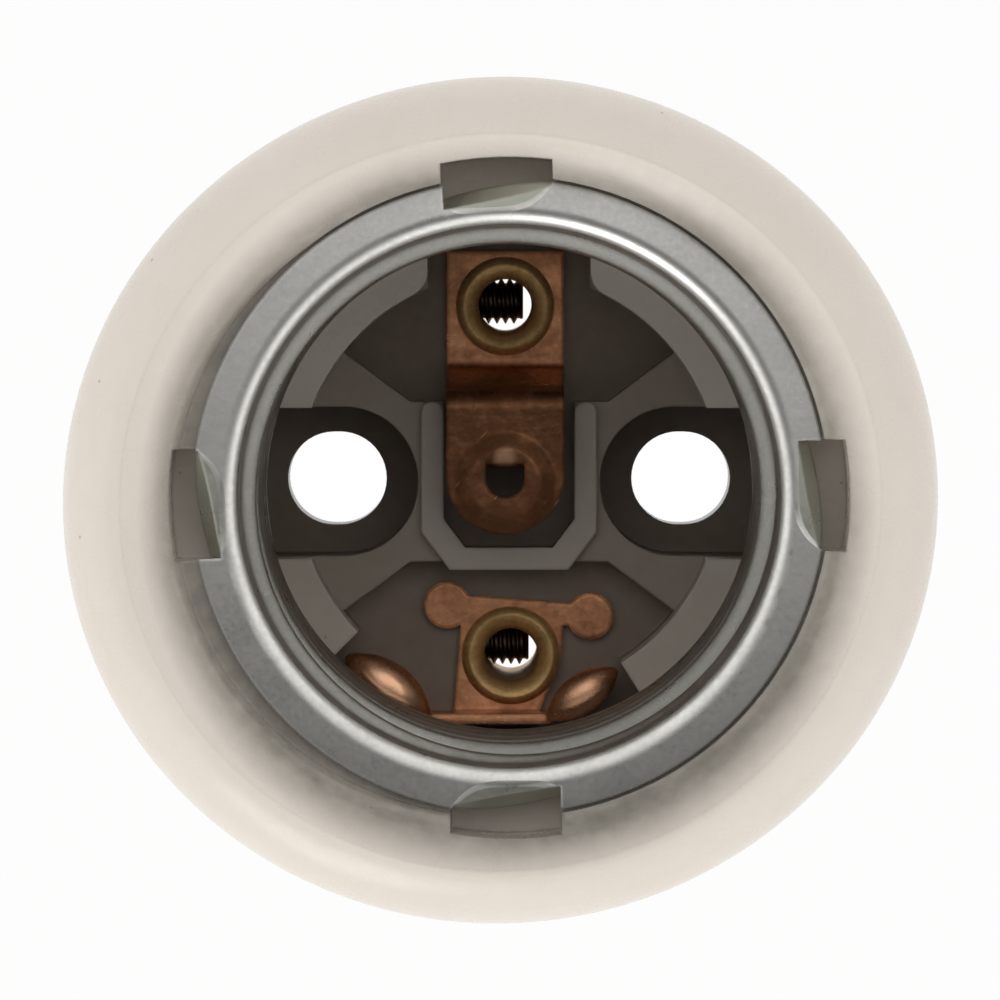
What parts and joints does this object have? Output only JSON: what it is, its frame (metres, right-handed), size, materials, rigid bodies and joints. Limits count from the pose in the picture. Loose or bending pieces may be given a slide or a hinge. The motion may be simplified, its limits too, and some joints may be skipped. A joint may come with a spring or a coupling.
{
  "type": "lamp holder",
  "caption": "Porcelain screw lamp holder with a rolled thread shell, copper contacts, and brass wire terminals reached from the back and side.",
  "frame": {"origin": "centre of the back face, which lies on the wall or in the fitting", "axes": "+Z along the lamp's axis, out of the mouth; +X from one mounting hole to the other; +Y from the side terminal to the centre terminal"},
  "size_m": [0.0428, 0.0414, 0.0472],
  "materials": {
    "porcelain": "warm white glaze with fine dark specks, matt where it is unglazed inside",
    "plated_sheet": "satin zinc-plated sheet with a bright rolled bend",
    "copper": "copper strip, aged brown with small scratches",
    "brass": "turned brass, aged olive",
    "screw_steel": "dull plated steel"
  },
  "bodies": {
    "holder": {"porcelain_body": "porcelain", "threaded_shell": "plated_sheet", "centre_contact": "copper", "side_contact": "copper", "centre_terminal_post": "brass", "side_terminal_post": "brass"},
    "centre_screw": {"centre_terminal_screw": "screw_steel"},
    "side_screw": {"side_terminal_screw": "screw_steel"}
  },
  "joints": [
    {"name": "centre_screw_travel", "type": "slide", "parent": "holder", "child": "centre_screw", "axis": [-1, 0, 0], "range_m": [-0.0004, 0.0024]},
    {"name": "side_screw_travel", "type": "slide", "parent": "holder", "child": "side_screw", "axis": [-1, 0, 0], "range_m": [-0.0004, 0.0024]}
  ]
}
